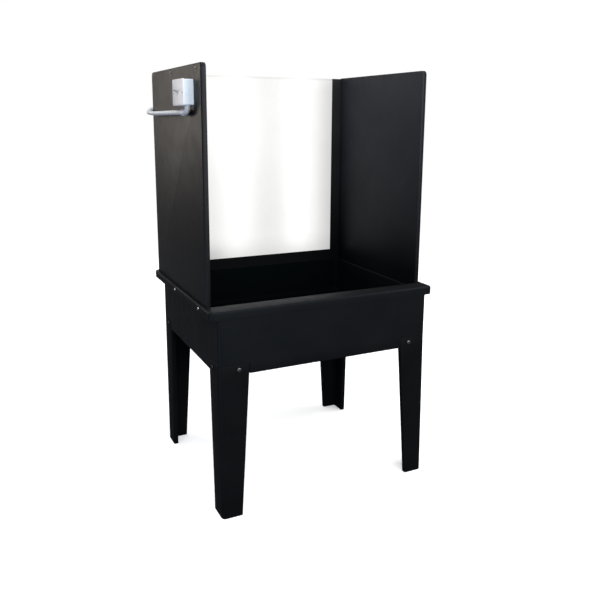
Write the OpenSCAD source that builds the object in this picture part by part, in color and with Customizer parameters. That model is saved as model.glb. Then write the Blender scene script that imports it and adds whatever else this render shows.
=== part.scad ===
// Backlit washout booth: a moulded sink on four legs with two side panels and a light box behind
// a translucent sheet. Millimetres, +Z up, front faces -Y, origin at the middle of the floor area.

/* [Booth] */
// Clear width between the two side panels
booth_w = 813; // [700:1:1000]
// Thickness of a side panel
panel_t = 19; // [12:1:25]
// Depth of a side panel, front edge to back edge
panel_d = 620; // [560:1:700]
// Height of a side panel above the rim
panel_h = 785; // [720:1:900]
// Corner radius of a side panel
panel_r = 14; // [4:1:30]

/* [Tank] */
// Height of the rim above the floor
rim_z = 735; // [650:1:900]
// Height of the apron, rim to lower edge
apron_h = 225; // [215:1:260]
// Height of the rim's turned edge
lip_h = 30; // [24:1:40]
// How far the rim stands out from the apron at the sides and back
lip_out = 28; // [20:1:36]
// Depth of the flat ledge in front of the panels
front_ledge = 72; // [50:1:100]
// How far the rim runs on behind the panels
rear_ledge = 18; // [12:1:30]
// How deep the panels sit in the rim
seat_d = 18; // [14:1:20]
// Wall thickness of the moulding
wall = 8; // [6:1:10]
// Height of the basin floor at the front
floor_front_z = 592; // [585:1:600]
// Height of the basin floor at the back
floor_rear_z = 568; // [564:1:580]

/* [Legs] */
// Width of a leg's front or rear flange at the top
leg_top_w = 110; // [90:1:120]
// Width of a leg's side flange at the top
leg_top_d = 98; // [90:1:120]
// Width of a leg's front or rear flange at the floor
leg_foot_w = 74; // [50:1:90]
// Width of a leg's side flange at the floor
leg_foot_d = 82; // [50:1:90]
// Thickness of a leg flange
leg_t = 18; // [14:1:20]
// How far the front feet stand forward of the apron
leg_splay = 12; // [0:1:20]
// Height of the pockets that hold the legs
pocket_h = 38; // [34:1:44]

/* [Light box] */
// Thickness of the translucent sheet
diffuser_t = 6; // [3:1:8]
// Distance from the panels' back edges to the front of the sheet
diffuser_set = 14; // [12:1:20]
// Depth of the lamp housing behind the panels
housing_d = 70; // [66:1:90]
// Lamp tube diameter
lamp_d = 26; // [16:1:26]
// Lamp length over the caps
lamp_len = 590; // [500:1:640]
// Distance between the lamps
lamp_pitch = 290; // [240:1:300]
// Sideways offset of the lamps, which leaves room for the wireway
lamp_shift = -65; // [-75:1:-30]

/* [Switch] */
// Length of the switch box along the panel
box_l = 119; // [110:1:124]
// Height of the switch box
box_h = 82; // [78:1:90]
// Depth of the switch box
box_d = 30; // [29:1:36]
// Depth of the box cover
cover_t = 6; // [5:1:9]
// Distance from the panel's front edge to the box
box_y = 78; // [60:1:90]
// Distance from the panel's top edge to the box
box_drop = 48; // [45:1:70]
// Tilt of the switch lever either side of level
lever_tilt = 25; // [15:1:25]

/* [Conduit] */
// Outer diameter of the conduit
conduit_d = 16; // [14:1:18]

/* [Drain] */
// Outer diameter of the drain tailpiece
pipe_d = 48.3; // [48.3:0.1:48.5]
// Height of the tailpiece's lower end above the floor
pipe_end_z = 440; // [400:1:460]

/* [Hidden] */

$fn = 48;
eps = 0.01;

// Colours
black_plastic = [0.05, 0.05, 0.06];
panel_black = [0.09, 0.09, 0.10];
trim_black = [0.07, 0.07, 0.07];
white_sheet = [0.96, 0.96, 0.95];
white_paint = [0.92, 0.92, 0.92];
steel = [0.72, 0.72, 0.74];
box_grey = [0.82, 0.83, 0.86];
conduit_grey = [0.78, 0.79, 0.80];
drain_grey = [0.30, 0.30, 0.32];
lamp_white = [0.98, 0.98, 0.96];

// Planes of the booth, before it is moved into the row frame
inner_x = booth_w / 2;
outer_x = inner_x + panel_t;
lip_x = outer_x + 12.5;
apron_x = lip_x - lip_out;
panel_top = rim_z + panel_h;
seat_z = rim_z - seat_d;
apron_z = rim_z - apron_h;
lip_back = panel_d + rear_ledge;
apron_back = lip_back - lip_out - 4;
basin_x = inner_x - 6.5;
basin_back = panel_d - 36;
basin_r = 30;
lip_r = 18;
apron_r = 14;
floor_gap = 10;
floor_slope = atan((floor_front_z - floor_rear_z) / basin_back);

// Legs
leg_top_z = apron_z + pocket_h;
pocket_back = leg_t + wall;
leg_screw_z = apron_z + pocket_h / 2;
leg_screw_in = 0.65;
leg_bolt_r = 4;
leg_head_r = 7.5;
leg_head_h = 4;

rim_head_h = 3;

// Light box
diffuser_y = panel_d - diffuser_set;
diffuser_top = panel_top - 3;
channel_w = 42;
channel_t = 2.5;
channel_gap = 0.3;
housing_x = inner_x - 10.5;
housing_back = panel_d + housing_d;
housing_low = rim_z + 5;
housing_high = panel_top - 10;
sheet_t = 2.5;
lamp_y = panel_d + 22;
reflector_y = panel_d + 42;
lamp_mid_z = (housing_low + housing_high) / 2;
lamp_x = [for (k = [-1 : 1]) lamp_shift + k * lamp_pitch];
cap_h = 13;
cover_head_h = 2.2;

// Switch box
box_z1 = panel_top - box_drop;
box_z0 = box_z1 - box_h;
box_mid_y = box_y + box_l / 2;
box_mid_z = (box_z0 + box_z1) / 2;
box_face = outer_x + box_d;
cover_face = box_face + cover_t;
lever_len = 16.5;
lever_tip_r = 3.6;
lever_pivot_x = cover_face - 4.5;
lever_reach = lever_pivot_x + lever_len * cos(lever_tilt) + lever_tip_r;
barrel_r = 4;

// Conduit, fittings and its route: round points chosen by hand, in booth coordinates
fitting_x = outer_x + 17.5;
fitting_y = box_y + 16;
bend_r = 20;
conduit_z = box_z0 - 23;
body_len = 15;
nut_r = 12.5;
nut_len = 22;
route_start_y = fitting_y + bend_r + body_len + nut_len;
rear_fit_y = panel_d + 14.5;
rear_fit_z = conduit_z + 16;
rear_fit_x = housing_x + 18;
route = [
    [-fitting_x, route_start_y, conduit_z], [-fitting_x, 240, conduit_z],
    [-fitting_x - 1, 340, conduit_z - 1], [-fitting_x - 2, 440, conduit_z - 2],
    [-fitting_x - 3, 520, conduit_z - 2], [-fitting_x - 4, 575, conduit_z],
    [-fitting_x - 3, 604, conduit_z + 2], [-fitting_x + 4, 623, conduit_z + 7],
    [-fitting_x + 16, 633, conduit_z + 13], [-rear_fit_x - 4, rear_fit_y, rear_fit_z],
    [-rear_fit_x, rear_fit_y, rear_fit_z]
];
route_sides = 12;
route_steps = 4;

// Drain
drain_y = 470;
pipe_r = pipe_d / 2;
socket_r = pipe_r - 0.75;
throat_r = socket_r + 0.05;
thread_r = 29;
flange_r = 44;
pad_z = floor_rear_z - 4;

// The booth's middle in the row frame: the box round everything is centred on the origin
foot_front = -front_ledge - leg_splay;
back_end = housing_back + sheet_t + cover_head_h;
shift_x = (lever_reach - lip_x - rim_head_h) / 2;
shift_y = -(foot_front + back_end) / 2;

module placed() {
    translate([shift_x, shift_y, 0]) children();
}

// ---------- small shapes ----------

module slab(x0, x1, y0, y1, z0, z1) {
    translate([x0, y0, z0]) cube([x1 - x0, y1 - y0, z1 - z0]);
}

module round_rect(x0, x1, y0, y1, r) {
    translate([x0 + r, y0]) square([x1 - x0 - 2 * r, y1 - y0]);
    translate([x0, y0 + r]) square([x1 - x0, y1 - y0 - 2 * r]);
    for (x = [x0 + r, x1 - r], y = [y0 + r, y1 - r]) translate([x, y]) circle(r);
}

module round_slab(x0, x1, y0, y1, z0, z1, r) {
    translate([0, 0, z0]) linear_extrude(z1 - z0) round_rect(x0, x1, y0, y1, r);
}

// A rod along +X, +Y or +Z from a point
module rod_x(x, y, z, len, r, sides = 48) {
    translate([x, y, z]) rotate([0, 90, 0]) cylinder(h = len, r = r, $fn = sides);
}

module rod_y(x, y, z, len, r, sides = 48) {
    translate([x, y, z]) rotate([-90, 0, 0]) cylinder(h = len, r = r, $fn = sides);
}

module rod_z(x, y, z, len, r, sides = 48) {
    translate([x, y, z]) cylinder(h = len, r = r, $fn = sides);
}

module ring_z(x, y, z, len, r, bore, sides = 48) {
    difference() {
        rod_z(x, y, z, len, r, sides);
        rod_z(x, y, z - 1, len + 2, bore);
    }
}

// Pan head screw: the head's flat underside is at the origin, the shank runs along -Z
module pan_screw(head_r, head_h, shank_r, shank_len) {
    rotate_extrude() polygon([[0, head_h], [head_r * 0.55, head_h * 0.94],
        [head_r * 0.86, head_h * 0.66], [head_r, head_h * 0.2], [head_r, 0], [0, 0]]);
    translate([0, 0, -shank_len]) cylinder(h = shank_len, r = shank_r);
}

// Turns a screw so that its head faces the named way
module facing(way) {
    turn = way == "-x" ? [0, -90, 0] : way == "+x" ? [0, 90, 0] : way == "-y" ? [90, 0, 0]
        : [-90, 0, 0];
    rotate(turn) children();
}

module both_sides() {
    children();
    mirror([1, 0, 0]) children();
}

// ---------- tank ----------

// Everything above the sloping floor, raised by rise
module above_floor(rise) {
    translate([0, basin_back, floor_rear_z + rise]) rotate([-floor_slope, 0, 0])
        translate([-600, -900, 0]) cube([1200, 1200, 300]);
}

module basin_cavity() {
    intersection() {
        round_slab(-basin_x, basin_x, 0, basin_back, apron_z, rim_z + 1, basin_r);
        above_floor(0);
    }
    rod_z(0, drain_y, pad_z, 40, flange_r + 8);
    rod_z(0, drain_y, apron_z, 100, thread_r + 0.2);
}

// The moulding left standing inside the apron: basin walls, floor and drain pad
module basin_shell() {
    intersection() {
        slab(-apron_x, apron_x, -wall, basin_back + wall, apron_z - 2, rim_z);
        above_floor(-floor_gap);
    }
    rod_z(0, drain_y, pad_z - floor_gap, 60, flange_r + 16);
}

module pocket_shape(depth, w, d, z0, z1) {
    for (sx = [-1, 1]) {
        front_back = [[-front_ledge, 1], [apron_back, -1]];
        for (e = front_back) {
            translate([sx * apron_x, e[0], z0]) mirror([sx > 0 ? 1 : 0, 0, 0])
                mirror([0, e[1] < 0 ? 1 : 0, 0]) {
                    translate([-1, -1, 0]) cube([w + 1, depth + 1, z1 - z0]);
                    translate([-1, -1, 0]) cube([depth + 1, d + 1, z1 - z0]);
                }
        }
    }
}

module under_hollow() {
    difference() {
        union() {
            slab(-apron_x + wall, apron_x - wall, -front_ledge + wall, apron_back - wall,
                apron_z - 1, seat_z - wall);
            slab(-apron_x + wall, apron_x - wall, -front_ledge + wall, -wall,
                seat_z - wall - 1, rim_z - wall);
        }
        basin_shell();
        pocket_shape(pocket_back, leg_top_w + wall, leg_top_d + wall, apron_z - 2,
            leg_top_z + wall);
    }
}

module panel_seat() {
    slab(-outer_x - 0.5, outer_x + 0.5, 0, panel_d + sheet_t + 0.5, seat_z, rim_z + 1);
}

module tank() color(black_plastic) placed() difference() {
    union() {
        round_slab(-lip_x, lip_x, -front_ledge, lip_back, rim_z - lip_h, rim_z, lip_r);
        round_slab(-apron_x, apron_x, -front_ledge, apron_back, apron_z, rim_z - 1, apron_r);
    }
    basin_cavity();
    panel_seat();
    under_hollow();
    pocket_shape(leg_t, leg_top_w, leg_top_d, apron_z - 1, leg_top_z);
    at_leg_screws() rod_z(0, 0, -pocket_back - 1, pocket_back + 2, leg_bolt_r);
    at_rim_screws() rod_z(0, 0, -lip_out, lip_out + 1, 2.5);
}

// ---------- legs ----------

// The rounded outer corner of a leg at one height: a quarter of a thin disc
module leg_corner() {
    intersection() {
        translate([apron_r, apron_r, 0]) cylinder(h = eps, r = apron_r, $fn = 32);
        cube([apron_r, apron_r, eps]);
    }
}

// One flange from foot to pocket: a rounded outer corner and a square end
module leg_flange(foot_w, top_w, forward) {
    hull() {
        for (e = [[0, foot_w, forward], [leg_top_z - eps, top_w, 0]]) {
            translate([0, -e[2], e[0]]) leg_corner();
            translate([apron_r, -e[2], e[0]]) cube([e[1] - apron_r, leg_t, eps]);
        }
    }
}

module side_flange(foot_d, top_d, forward) {
    hull() {
        for (e = [[0, foot_d, forward], [leg_top_z - eps, top_d, 0]]) {
            translate([0, -e[2], e[0]]) leg_corner();
            translate([0, apron_r - e[2], e[0]]) cube([leg_t, e[1] - apron_r, eps]);
        }
    }
}

// A leg with its outer corner at the origin, flanges along +X and +Y
module leg_shape(forward) {
    leg_flange(leg_foot_w, leg_top_w, forward);
    side_flange(leg_foot_d, leg_top_d, forward);
}

module leg(sx, sy) color(trim_black) placed() difference() {
    translate([sx * apron_x, sy < 0 ? -front_ledge : apron_back, 0])
        mirror([sx > 0 ? 1 : 0, 0, 0]) mirror([0, sy > 0 ? 1 : 0, 0])
            leg_shape(sy < 0 ? leg_splay : 0);
    at_leg_screws() rod_z(0, 0, -pocket_back - 1, pocket_back + 4, leg_bolt_r);
}

module leg_front_left() leg(-1, -1);
module leg_front_right() leg(1, -1);
module leg_rear_left() leg(-1, 1);
module leg_rear_right() leg(1, 1);

// Eight places on the leg flanges, each with +Z out of the flange's outer face
module at_leg_screws(proud = 0) {
    in_x = apron_x - leg_screw_in * leg_top_w;
    in_y = leg_screw_in * leg_top_d;
    both_sides() {
        translate([-in_x, -front_ledge - proud, leg_screw_z]) facing("-y") children();
        translate([-in_x, apron_back, leg_screw_z]) facing("+y") children();
        translate([-apron_x, -front_ledge + in_y, leg_screw_z]) facing("-x") children();
        translate([-apron_x, apron_back - in_y, leg_screw_z]) facing("-x") children();
    }
}

module leg_screws() color(steel) placed() at_leg_screws(0.6)
    pan_screw(leg_head_r, leg_head_h, leg_bolt_r, pocket_back + 10);

module leg_nuts() color(steel) placed() at_leg_screws() {
    ring_z(0, 0, -pocket_back - 1.6, 1.6, 9, leg_bolt_r);
    ring_z(0, 0, -pocket_back - 8.1, 6.5, 7.5, leg_bolt_r, 6);
}

// ---------- side panels ----------

rim_screw_y = [45, 330];
top_screw_y = [53, 346, 598];
top_screw_drop = 17;

module at_rim_screws() {
    both_sides() for (y = rim_screw_y)
        translate([-lip_x, y, rim_z - 13]) facing("-x") children();
}

module at_top_screws() {
    both_sides() for (y = top_screw_y)
        translate([-outer_x, y, panel_top - top_screw_drop]) facing("-x") children();
}

// Places on the inner face of the left panel, with +Z into the booth
channel_screw_z = [for (k = [0 : 3]) seat_z + 60 + k * (panel_top - seat_z - 120) / 3];
channel_screw_y = diffuser_y + diffuser_t / 2;
module at_channel_screws() {
    both_sides() for (z = channel_screw_z)
        translate([-inner_x + channel_t, channel_screw_y, z]) facing("+x") children();
}

housing_screw_z = [housing_low + 60, lamp_mid_z, housing_high - 60];
module at_housing_screws() {
    both_sides() for (z = housing_screw_z)
        translate([-inner_x - panel_t / 2, panel_d + sheet_t, z]) facing("+y") children();
}

module at_box_screws() {
    for (y = [box_y + 22, box_y + box_l - 22])
        translate([-outer_x - sheet_t, y, box_mid_z + 28]) facing("-x") children();
}

module panel_plate() {
    translate([-outer_x, 0, 0]) rotate([90, 0, 90]) linear_extrude(panel_t) {
        round_rect(0.5, panel_d, rim_z, panel_top, panel_r);
        translate([0.5, seat_z]) square([panel_d - 0.5, panel_h / 2]);
    }
}

module panel_holes() {
    at_rim_screws() rod_z(0, 0, -lip_out, lip_out, 2.5);
    at_top_screws() rod_z(0, 0, -14, 15, 2.5);
    at_channel_screws() rod_z(0, 0, -14, 15, 2);
    at_housing_screws() rod_z(0, 0, -22, 25, 2);
}

module left_panel() color(panel_black) placed() difference() {
    panel_plate();
    panel_holes();
    at_box_screws() rod_z(0, 0, -14, 15, 2);
}

module right_panel() color(panel_black) placed() difference() {
    mirror([1, 0, 0]) panel_plate();
    panel_holes();
}

module rim_screws() color(steel) placed() at_rim_screws() pan_screw(5.5, rim_head_h, 2.5, 26);

module top_screws() color(steel) placed() at_top_screws() {
    cylinder(h = 0.8, r = 8);
    translate([0, 0, 0.8]) pan_screw(5, 1.8, 2.5, 13.8);
}

// ---------- translucent back sheet and its trim ----------

module channel() difference() {
    slab(-inner_x, -inner_x + channel_w, diffuser_y - channel_gap - channel_t,
        diffuser_y + diffuser_t + channel_gap + channel_t, seat_z, diffuser_top);
    slab(-inner_x + channel_t, -inner_x + channel_w + 1, diffuser_y - channel_gap,
        diffuser_y + diffuser_t + channel_gap, seat_z - 1, diffuser_top + 1);
    slab(-inner_x + channel_w - 9, -inner_x + channel_w + 1, diffuser_y + diffuser_t,
        diffuser_y + 20, seat_z - 1, diffuser_top + 1);
    at_channel_screws() rod_z(0, 0, -14, 15, 2);
}

module left_channel() color(trim_black) placed() channel();

module right_channel() color(trim_black) placed() mirror([1, 0, 0]) channel();

bottom_lip = 45;
module bottom_channel() color(trim_black) placed() difference() {
    x = inner_x - channel_w - 0.5;
    slab(-x, x, diffuser_y - channel_gap - channel_t,
        diffuser_y + diffuser_t + channel_gap + channel_t, seat_z, seat_z + bottom_lip);
    slab(-x - 1, x + 1, diffuser_y - channel_gap, diffuser_y + diffuser_t + channel_gap,
        seat_z + channel_t, seat_z + bottom_lip + 1);
}

module channel_screws() color(steel) placed() at_channel_screws() {
    cylinder(h = 1.4, r1 = 3.2, r2 = 2.6);
    translate([0, 0, -14]) cylinder(h = 14, r = 2);
}

module diffuser_panel() color(white_sheet) placed() difference() {
    x = inner_x - channel_t - 2.5;
    slab(-x, x, diffuser_y, diffuser_y + diffuser_t, seat_z + channel_t, diffuser_top);
}

// ---------- lamp housing ----------

module housing_side() difference() {
    union() {
        slab(-housing_x, -housing_x + sheet_t, panel_d, housing_back, housing_low, housing_high);
        slab(-outer_x + 1.5, -housing_x, panel_d, panel_d + sheet_t, housing_low, housing_high);
        slab(-housing_x, -housing_x + 18, housing_back - sheet_t, housing_back, housing_low,
            housing_high);
    }
    at_housing_screws() rod_z(0, 0, -6, 12, 2);
    at_cover_screws() rod_z(0, 0, -8, 12, 2);
}

// Fitting hole in the left side and gland hole in the right side
gland_z = housing_low + 110;
module housing_left() color(trim_black) placed() difference() {
    housing_side();
    rod_x(-housing_x - 2, rear_fit_y, rear_fit_z, 10, 8);
}

module housing_right() color(trim_black) placed() difference() {
    mirror([1, 0, 0]) housing_side();
    rod_x(housing_x - 8, rear_fit_y, gland_z, 12, 8);
}

flange_h = 16.5;
module housing_end(z_face, z_flange) difference() {
    x = housing_x - sheet_t;
    union() {
        slab(-x, x, panel_d, housing_back - sheet_t, z_face, z_face + sheet_t);
        slab(-x + 16, x - 16, housing_back - sheet_t, housing_back, z_flange,
            z_flange + flange_h);
    }
    at_cover_screws() rod_z(0, 0, -8, 12, 2);
}

module housing_top() color(trim_black) placed()
    housing_end(housing_high - sheet_t, housing_high - flange_h);

module housing_bottom() color(trim_black) placed()
    housing_end(housing_low, housing_low);

module housing_screws() color(steel) placed() at_housing_screws()
    pan_screw(4.5, 2.4, 2, 22);

module at_cover_screws() {
    x_side = housing_x - 9;
    z_edge = 9;
    places = concat(
        [for (x = [-x_side, x_side], k = [0 : 3])
            [x, housing_low + 40 + k * (housing_high - housing_low - 80) / 3]],
        [for (x = [-190, 0, 190], z = [housing_low + z_edge, housing_high - z_edge]) [x, z]]);
    for (p = places)
        translate([p[0], housing_back + sheet_t, p[1]]) facing("+y") children();
}

vent_w = 60;
vent_h = 6;
module rear_cover() color(trim_black) placed() difference() {
    slab(-housing_x, housing_x, housing_back, housing_back + sheet_t, housing_low,
        housing_high);
    at_cover_screws() rod_z(0, 0, -8, 12, 2);
    for (k = [-3 : 3], row = [0 : 2], z = [housing_low + 50, housing_high - 50 - 32])
        translate([k * 90 - vent_w / 2, housing_back - 1, z + row * 16])
            cube([vent_w, sheet_t + 2, vent_h]);
}

module rear_cover_screws() color(steel) placed() at_cover_screws()
    pan_screw(4.5, cover_head_h, 2, 8);

module reflector() color(white_paint) placed() difference() {
    x = housing_x - sheet_t;
    slab(-x, x, reflector_y, reflector_y + 1.2, housing_low + sheet_t, housing_high - sheet_t);
    rod_y(350, reflector_y - 1, lamp_mid_z, 4, 10);
}

module lamp(x) rod_z(x, lamp_y, lamp_mid_z - lamp_len / 2 + cap_h, lamp_len - 2 * cap_h,
    lamp_d / 2);

module lamp_left() color(lamp_white) placed() lamp(lamp_x[0]);
module lamp_middle() color(lamp_white) placed() lamp(lamp_x[1]);
module lamp_right() color(lamp_white) placed() lamp(lamp_x[2]);

// Both ends of each lamp, with +Z out of the lamp
module at_lamp_ends() {
    for (x = lamp_x) {
        translate([x, lamp_y, lamp_mid_z + lamp_len / 2]) children();
        translate([x, lamp_y, lamp_mid_z - lamp_len / 2]) mirror([0, 0, 1]) children();
    }
}

pin_gap = 12.7;
module lamp_caps() color(steel) placed() at_lamp_ends() {
    translate([0, 0, -cap_h]) cylinder(h = cap_h, r = lamp_d / 2);
    for (s = [-1, 1]) translate([s * pin_gap / 2, 0, 0]) cylinder(h = 7, r = 1.2);
}

module lamp_holders() color(white_paint) placed() at_lamp_ends() difference() {
    reach = reflector_y - lamp_y;
    translate([-13, -12, 0.2]) cube([26, 12 + reach, 15]);
    for (s = [-1, 1]) translate([s * pin_gap / 2, 0, -1]) cylinder(h = 9, r = 1.3);
}

module ballast() color(white_paint) placed()
    round_slab(-22, 22, reflector_y + 1.2, housing_back - 3, lamp_mid_z - 140,
        lamp_mid_z + 140, 3);

module wireway_cover() color(white_paint) placed() difference() {
    slab(330, 370, reflector_y - 12, reflector_y, lamp_mid_z - 340, lamp_mid_z + 340);
    slab(332, 368, reflector_y - 10, reflector_y + 1, lamp_mid_z - 341, lamp_mid_z + 341);
}

// ---------- switch ----------

module switch_box() color(box_grey) placed() difference() {
    union() {
        difference() {
            slab(-box_face, -outer_x, box_y, box_y + box_l, box_z0, box_z1);
            slab(-box_face - 1, -outer_x - sheet_t, box_y + sheet_t, box_y + box_l - sheet_t,
                box_z0 + sheet_t, box_z1 - sheet_t);
        }
        at_cover_lugs() translate([-lug, -lug, -cover_t - 15]) cube([2 * lug, 2 * lug, 15]);
    }
    at_cover_lugs() rod_z(0, 0, -22, 20, 1.6);
    at_box_screws() rod_z(0, 0, -6, 12, 2);
    rod_z(-fitting_x, fitting_y, box_z0 - 1, sheet_t + 2, 8);
}

module box_screws() color(steel) placed() at_box_screws() pan_screw(4, 2.4, 2, 14);

lug = 7;
module at_cover_lugs() {
    for (y = [box_y + lug, box_y + box_l - lug])
        translate([-cover_face, y, box_mid_z]) facing("-x") children();
}

module switch_cover() color(box_grey) placed() difference() {
    slab(-cover_face, -box_face, box_y - 1.5, box_y + box_l + 1.5, box_z0 - 1.5, box_z1 + 1.5);
    slab(-cover_face + 2, -box_face + 1, box_y + 2, box_y + box_l - 2, box_z0 + 2, box_z1 - 2);
    slab(-cover_face - 1, -cover_face + 3, box_mid_y - 5.5, box_mid_y + 5.5, box_mid_z - 5.8,
        box_mid_z + 5.8);
    at_cover_lugs() rod_z(0, 0, -4, 6, 1.6);
}

module cover_screws() color(steel) placed() at_cover_lugs() pan_screw(3.4, 1.8, 1.6, 20);

module switch_body() color(white_paint) placed() difference() {
    slab(-cover_face + 2, -outer_x - 8, box_mid_y - 12, box_mid_y + 12, box_mid_z - 18,
        box_mid_z + 18);
    slab(-cover_face + 1, -lever_pivot_x + barrel_r + 0.6, box_mid_y - 5.6, box_mid_y + 5.6,
        box_mid_z - 9.5, box_mid_z + 9.5);
    rod_y(-lever_pivot_x, box_mid_y - 13, box_mid_z, 26, 1.2);
}

module lever_pin() color(steel) placed()
    rod_y(-lever_pivot_x, box_mid_y - 12, box_mid_z, 24, 1.2);

module switch_lever() color(white_paint) placed() difference() {
    translate([-lever_pivot_x, box_mid_y, box_mid_z]) union() {
        rotate([90, 0, 0]) translate([0, 0, -4.8]) cylinder(h = 9.6, r = barrel_r);
        rotate([0, -90 + lever_tilt, 0]) {
            cylinder(h = lever_len, r1 = 2.6, r2 = lever_tip_r);
            translate([0, 0, lever_len]) sphere(lever_tip_r);
        }
    }
    rod_y(-lever_pivot_x, box_mid_y - 8, box_mid_z, 16, 1.25);
}

// ---------- conduit and fittings ----------

module elbow_connector() color(conduit_grey) placed() translate([-fitting_x, fitting_y, 0]) {
    rod_z(0, 0, box_z0 - 3, 3 + sheet_t + 5, 8);
    rod_z(0, 0, box_z0 - 3, 3, 11.5);
    translate([0, bend_r, box_z0 - 3]) rotate([0, 90, 0]) rotate([0, 0, -90])
        rotate_extrude(angle = 90) translate([bend_r, 0]) circle(9);
    rod_y(0, bend_r, conduit_z, body_len, 9.5);
    rod_y(0, bend_r + body_len, conduit_z, nut_len, nut_r, 8);
}

module elbow_locknut() color(steel) placed()
    ring_z(-fitting_x, fitting_y, box_z0 + sheet_t, 3, 11.5, 8, 8);

module rear_connector() color(conduit_grey) placed() {
    rod_x(-housing_x - 4, rear_fit_y, rear_fit_z, 4 + sheet_t + 5, 8);
    rod_x(-housing_x - 4, rear_fit_y, rear_fit_z, 4, 11.5);
    rod_x(-rear_fit_x, rear_fit_y, rear_fit_z, rear_fit_x - housing_x - 4, 11.5, 8);
}

module rear_locknut() color(steel) placed() difference() {
    rod_x(-housing_x + sheet_t, rear_fit_y, rear_fit_z, 3, 11.5, 8);
    rod_x(-housing_x + sheet_t - 1, rear_fit_y, rear_fit_z, 5, 8);
}

module supply_gland() color(conduit_grey) placed() difference() {
    union() {
        rod_x(housing_x - sheet_t - 4, rear_fit_y, gland_z, sheet_t + 8, 8);
        rod_x(housing_x, rear_fit_y, gland_z, 4, 11.5);
        rod_x(housing_x + 4, rear_fit_y, gland_z, 14, 11, 8);
        rod_x(housing_x - sheet_t - 3, rear_fit_y, gland_z, 3, 11.5, 8);
    }
    rod_x(housing_x - 10, rear_fit_y, gland_z, 40, 4.5);
}

// Smooth curve through the route's points
function spline(p0, p1, p2, p3, t) = 0.5 * (2 * p1 + (p2 - p0) * t
    + (2 * p0 - 5 * p1 + 4 * p2 - p3) * t * t + (3 * p1 - p0 - 3 * p2 + p3) * t * t * t);
function pick(pts, k) = pts[max(0, min(len(pts) - 1, k))];
function smooth(pts, steps) = concat(
    [for (k = [0 : len(pts) - 2], s = [0 : steps - 1])
        spline(pick(pts, k - 1), pts[k], pts[k + 1], pick(pts, k + 2), s / steps)],
    [pts[len(pts) - 1]]);
function unit(v) = v / norm(v);
function tangent(c, k) = k == 0 ? [0, 1, 0] : k == len(c) - 1 ? [1, 0, 0]
    : unit(c[k + 1] - c[k - 1]);

module swept_tube(points, r, sides) {
    n = len(points);
    rings = [for (k = [0 : n - 1])
        let (t = tangent(points, k), side = unit(cross(t, [0, 0, 1])), up = cross(side, t))
        for (a = [0 : sides - 1])
            points[k] + r * (cos(a * 360 / sides) * side + sin(a * 360 / sides) * up)];
    walls = [for (k = [0 : n - 2], a = [0 : sides - 1])
        [k * sides + a, k * sides + (a + 1) % sides, (k + 1) * sides + (a + 1) % sides,
            (k + 1) * sides + a]];
    ends = [[for (a = [sides - 1 : -1 : 0]) a], [for (a = [0 : sides - 1]) (n - 1) * sides + a]];
    polyhedron(points = rings, faces = concat(walls, ends));
}

module conduit() color(conduit_grey) placed()
    swept_tube(smooth(route, route_steps), conduit_d / 2, route_sides);

// ---------- drain ----------

module at_drain() {
    translate([0, drain_y, 0]) children();
}

body_low = pad_z - 62;
module drain_body() color(drain_grey) placed() at_drain() difference() {
    union() {
        rod_z(0, 0, pad_z, 4, flange_r);
        rod_z(0, 0, body_low, 62, thread_r);
    }
    rod_z(0, 0, body_low - 1, 50, throat_r);
    rod_z(0, 0, body_low, 70, 20);
    rod_z(0, 0, pad_z - 4, 10, throat_r + 1);
}

module drain_gasket() color(trim_black) placed() at_drain()
    ring_z(0, 0, pad_z - floor_gap - 3, 3, flange_r - 4, thread_r);

module drain_locknut() color(drain_grey) placed() at_drain()
    ring_z(0, 0, pad_z - floor_gap - 13, 10, flange_r - 2, thread_r, 8);

pipe_top = pad_z - 30;
pipe_grip = 50;
module drain_tailpiece() color(drain_grey) placed() at_drain() difference() {
    union() {
        rod_z(0, 0, pipe_end_z, pipe_grip, pipe_r);
        rod_z(0, 0, pipe_end_z + pipe_grip, pipe_top - pipe_end_z - pipe_grip, socket_r);
    }
    rod_z(0, 0, pipe_end_z - 1, pipe_top - pipe_end_z + 2, pipe_r - 2.8);
}

module slip_nut() color(drain_grey) placed() at_drain() difference() {
    rod_z(0, 0, body_low - 8, 26, thread_r + 8, 8);
    rod_z(0, 0, body_low, 20, thread_r);
    rod_z(0, 0, body_low - 10, 30, throat_r);
}

module drain_strainer() color(steel) placed() at_drain() difference() {
    union() {
        rod_z(0, 0, pad_z - 3.7, 2.5, throat_r + 0.6);
        rod_z(0, 0, pad_z - 3.7, 12, 3.5);
        rod_z(0, 0, pad_z + 8, 4, 7);
    }
    for (ring = [[6, 10.5], [12, 18]], k = [0 : ring[0] - 1])
        rotate(k * 360 / ring[0]) rod_z(ring[1], 0, pad_z - 5, 5, 2.6);
}

tank();
leg_front_left();
leg_front_right();
leg_rear_left();
leg_rear_right();
leg_screws();
leg_nuts();
left_panel();
right_panel();
rim_screws();
top_screws();
left_channel();
right_channel();
bottom_channel();
channel_screws();
diffuser_panel();
housing_left();
housing_right();
housing_top();
housing_bottom();
housing_screws();
rear_cover();
rear_cover_screws();
reflector();
lamp_left();
lamp_middle();
lamp_right();
lamp_caps();
lamp_holders();
ballast();
wireway_cover();
switch_box();
box_screws();
switch_body();
lever_pin();
switch_lever();
switch_cover();
cover_screws();
elbow_connector();
elbow_locknut();
conduit();
rear_connector();
rear_locknut();
supply_gland();
drain_body();
drain_gasket();
drain_locknut();
drain_tailpiece();
slip_nut();
drain_strainer();
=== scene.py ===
"""Backlit washout booth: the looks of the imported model, in its own frame, in metres."""
import math
import random

import bmesh
import bpy
from mathutils import Matrix, Vector


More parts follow.
